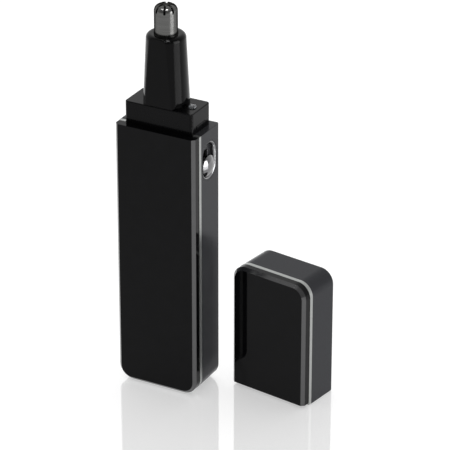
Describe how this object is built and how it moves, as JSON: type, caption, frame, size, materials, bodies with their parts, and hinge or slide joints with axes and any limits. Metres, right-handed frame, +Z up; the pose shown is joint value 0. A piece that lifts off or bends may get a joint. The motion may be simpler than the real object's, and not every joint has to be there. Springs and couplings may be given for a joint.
{
  "type": "nose hair trimmer",
  "caption": "Slim battery nose hair trimmer, black with bright edge trim, slotted steel cutter on a tapered nozzle and side slide switch, its cap standing beside it.",
  "frame": {"origin": "centre of the trimmer's flat bottom face", "axes": "+Z up along the trimmer to the cutter, +X to the side with the switch and the cap, -Y out of the glossy front panel"},
  "size_m": [0.0725, 0.0331, 0.1455],
  "materials": {
    "gloss_black": "high gloss black",
    "bright_trim": "polished bright trim",
    "gunmetal": "dark metallic lacquer",
    "satin_black": "fine satin",
    "knob_chrome": "polished",
    "steel": "brushed",
    "lens": "clear epoxy",
    "rubber": "matte",
    "frame_plastic": "moulded",
    "board": "solder mask",
    "switch_case": "plated sheet",
    "resistor": "lacquered",
    "contact": "nickel plated",
    "cell": "plain wrapped cell",
    "red_lead": "insulated",
    "black_lead": "insulated",
    "motor_case": "zinc plated",
    "motor_plastic": "moulded nylon",
    "magnet": "ferrite",
    "armature": "laminated iron",
    "bush": "sintered",
    "drive_plastic": "moulded acetal"
  },
  "bodies": {
    "handle": {"front_panel": "gloss_black", "trim_frame": "bright_trim", "rear_housing": "gunmetal", "neck_block": "satin_black", "inner_frame": "frame_plastic", "frame_screws": "contact", "battery_cell": "cell", "contact_spring": "contact", "negative_contact": "contact", "positive_contact": "contact", "negative_lead": "black_lead", "positive_lead": "red_lead", "motor_lead": "red_lead", "motor_can": "motor_case", "motor_end_cap": "motor_plastic", "motor_terminals": "contact", "motor_magnets": "magnet", "circuit_board": "board", "resistor": "resistor", "switch_case": "switch_case", "switch_bezel": "knob_chrome", "led_lamp": "lens", "led_leads": "contact"},
    "switch": {"switch_knob": "knob_chrome", "switch_stem": "satin_black"},
    "motor_rotor": {"motor_shaft": "steel", "motor_armature": "armature", "drive_fork": "drive_plastic"},
    "head": {"nozzle": "gloss_black", "cutter_guard": "steel", "nozzle_seal": "rubber", "spindle_bush": "bush"},
    "rotor": {"rotor_blade": "steel", "rotor_spindle": "steel", "drive_tang": "drive_plastic", "thrust_spring": "steel"},
    "door": {"battery_door": "gunmetal", "door_gasket": "rubber"},
    "cap": {"cap_front_panel": "gloss_black", "cap_trim": "bright_trim", "cap_rear_shell": "gunmetal", "cap_liner": "satin_black"}
  },
  "joints": [
    {"name": "cap_lift", "type": "slide", "parent": "handle", "child": "cap", "axis": [0, 0, 1], "range_m": [0, 0.048]},
    {"name": "switch_slide", "type": "slide", "parent": "handle", "child": "switch", "axis": [0, 0, 1], "range_m": [0, 0.0045]},
    {"name": "motor_spin", "type": "hinge", "parent": "handle", "child": "motor_rotor", "pos_m": [0, 0.00025, 0.09], "axis": [0, 0, 1], "continuous": true},
    {"name": "head_twist", "type": "hinge", "parent": "handle", "child": "head", "pos_m": [0, 0.00025, 0.1091], "axis": [0, 0, 1], "range_deg": [0, 30]},
    {"name": "rotor_spin", "type": "hinge", "parent": "head", "child": "rotor", "pos_m": [0, 0.00025, 0.13], "axis": [0, 0, 1], "continuous": true},
    {"name": "door_tilt", "type": "hinge", "parent": "handle", "child": "door", "pos_m": [0, 0.0075, 0.0074], "axis": [-1, 0, 0], "range_deg": [0, 75]}
  ],
  "couplings": [
    {"joint": "rotor_spin", "follows": "motor_spin", "ratio": 1}
  ]
}
